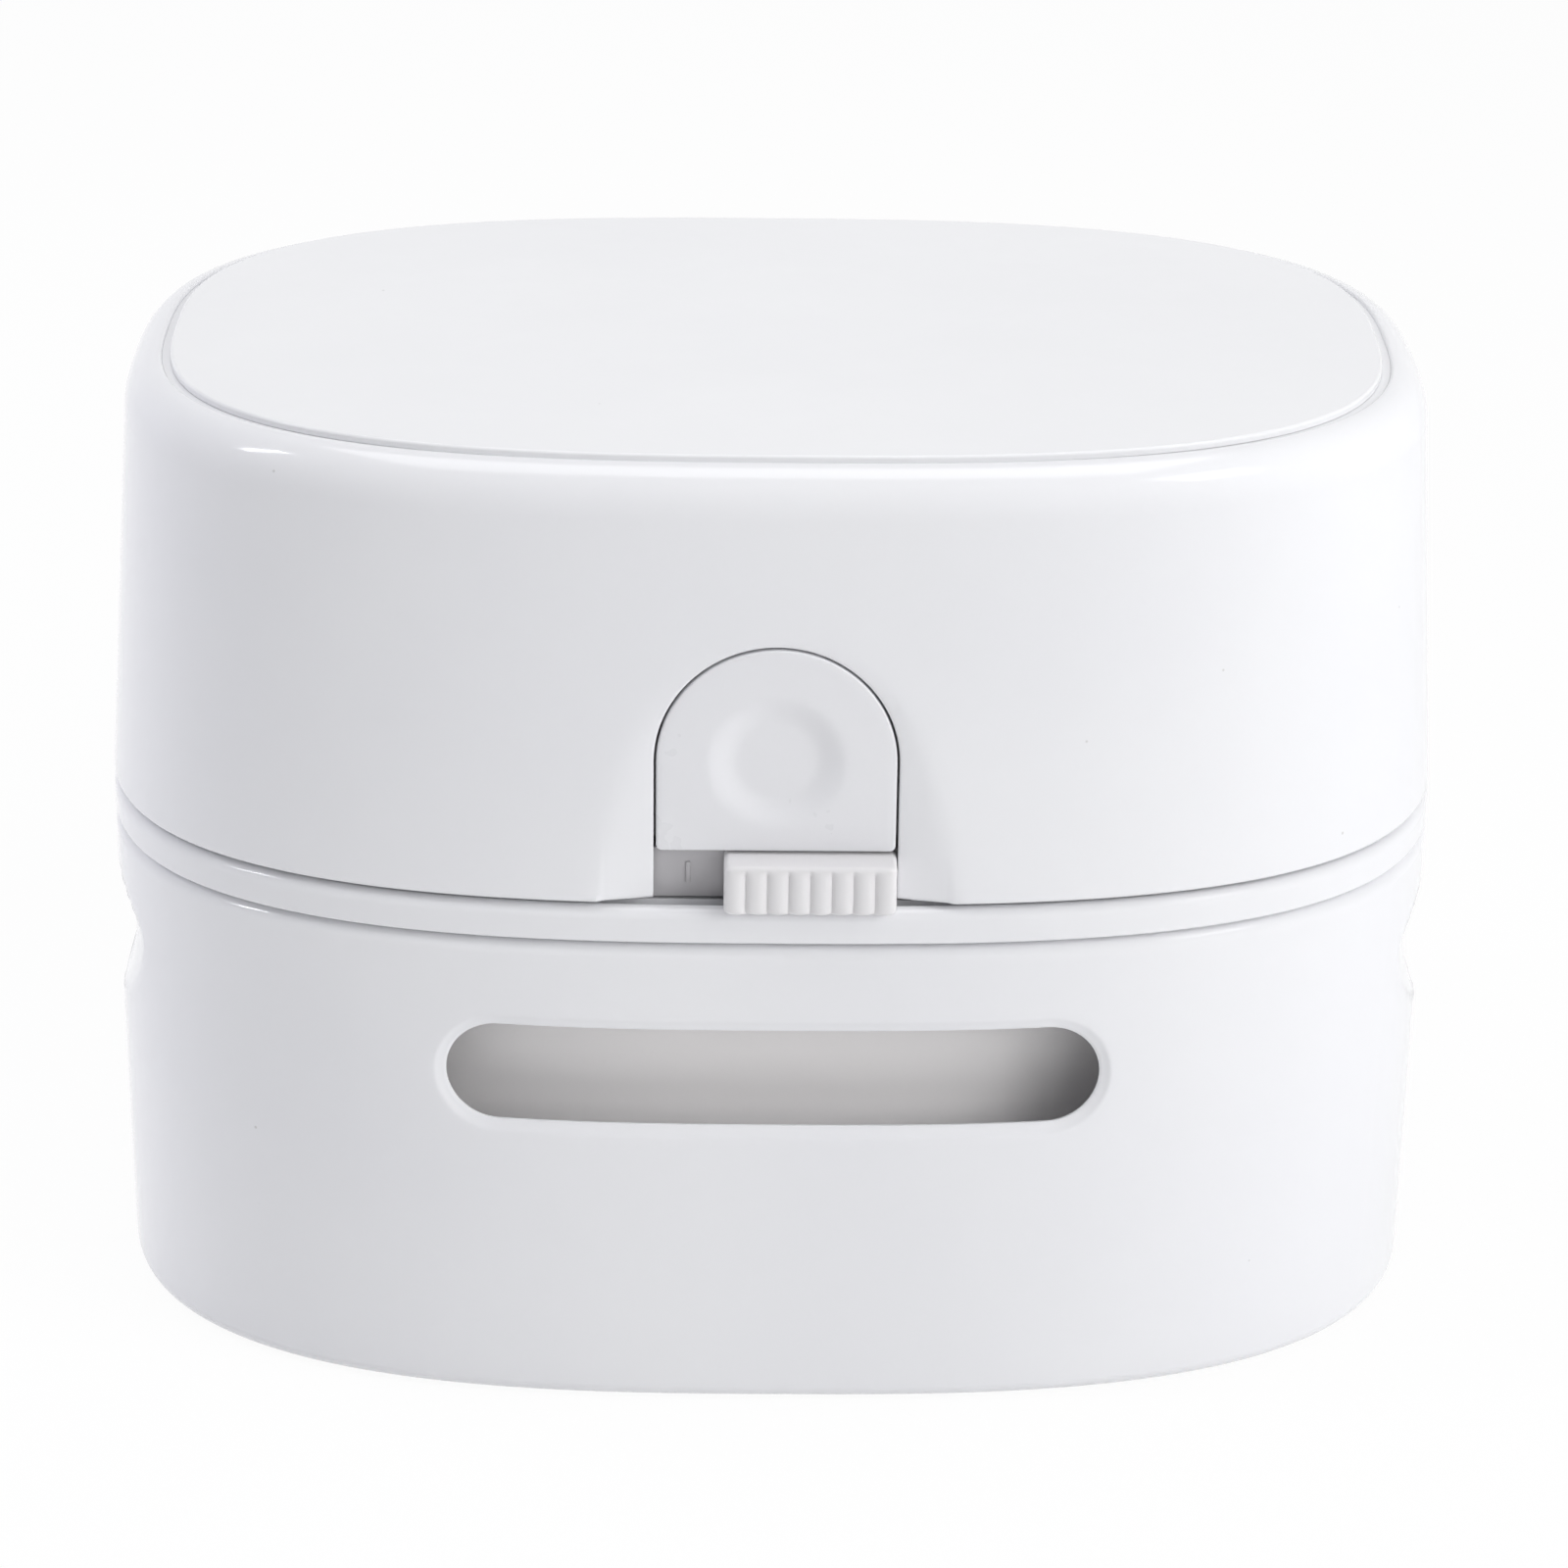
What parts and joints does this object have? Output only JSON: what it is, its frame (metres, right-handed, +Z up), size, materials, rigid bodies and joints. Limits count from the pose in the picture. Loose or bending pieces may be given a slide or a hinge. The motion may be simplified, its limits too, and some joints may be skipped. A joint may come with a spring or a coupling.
{
  "type": "desktop vacuum cleaner",
  "caption": "Oval desktop vacuum cleaner: a dust box with air slots and a bottom inlet, under a latched power unit with a push button and a slide switch.",
  "frame": {"origin": "centre of the base outline, on the surface that it stands on", "axes": "+Z up, +X along the width to the right as seen from the front, -Y the front with the button, the switch and an air slot"},
  "size_m": [0.116, 0.0793, 0.0839],
  "materials": {
    "shell_white": "glossy moulded ABS, fine mould texture",
    "cover_white": "satin-gloss moulded ABS",
    "button_white": "glossy moulded ABS",
    "knob_white": "moulded ABS with finger ribs",
    "inner_grey": "moulded plastic",
    "seal_rubber": "soft foam rubber",
    "bristle": "nylon strands",
    "can_steel": "drawn steel",
    "contact_nickel": "nickel plate",
    "filter_cloth": "non-woven cloth",
    "cell_can": "plain sleeve over the can"
  },
  "bodies": {
    "dust_box": {"lower_housing": "shell_white", "base_plate": "shell_white", "inlet_nozzle": "inner_grey", "brush_ring": "bristle", "dust_gasket": "seal_rubber", "latch_fork": "inner_grey"},
    "power_unit": {"chassis": "shell_white", "upper_housing": "shell_white", "switch_plate": "shell_white", "slide_switch": "can_steel", "motor_can": "can_steel", "motor_end_cap": "inner_grey", "motor_terminal_left": "contact_nickel", "motor_terminal_right": "contact_nickel", "fan_housing": "inner_grey", "filter_frame": "inner_grey", "filter_cloth": "filter_cloth", "battery_tray_left": "inner_grey", "battery_tray_right": "inner_grey", "battery_contact_left": "contact_nickel", "battery_contact_right": "contact_nickel", "battery_spring_left": "contact_nickel", "battery_spring_right": "contact_nickel", "battery_left": "cell_can", "battery_right": "cell_can", "button_spring": "can_steel", "chassis_screw_1": "can_steel", "chassis_screw_2": "can_steel", "chassis_screw_3": "can_steel", "chassis_screw_4": "can_steel", "fan_screw_1": "can_steel", "fan_screw_2": "can_steel"},
    "cover": {"top_cover": "cover_white"},
    "button": {"release_button": "button_white"},
    "knob": {"switch_knob": "knob_white"},
    "rotor": {"motor_shaft": "can_steel", "impeller": "inner_grey"}
  },
  "joints": [
    {"name": "lift_off", "type": "slide", "parent": "dust_box", "child": "power_unit", "axis": [0, 0, 1], "range_m": [0, 0.03], "deforming": ["latch_fork"]},
    {"name": "cover_lift", "type": "slide", "parent": "power_unit", "child": "cover", "axis": [0, 0, 1], "range_m": [0, 0.015]},
    {"name": "button_press", "type": "slide", "parent": "power_unit", "child": "button", "axis": [0, 1, 0], "range_m": [0, 0.002], "stiffness_N_per_m": 600, "springref_m": -0.001, "deforming": ["button_spring", "latch_fork"]},
    {"name": "switch_slide", "type": "slide", "parent": "power_unit", "child": "knob", "axis": [-1, 0, 0], "range_m": [0, 0.0057]},
    {"name": "rotor_spin", "type": "hinge", "parent": "power_unit", "child": "rotor", "pos_m": [0, 0, 0.045], "axis": [0, 0, 1], "continuous": true}
  ]
}
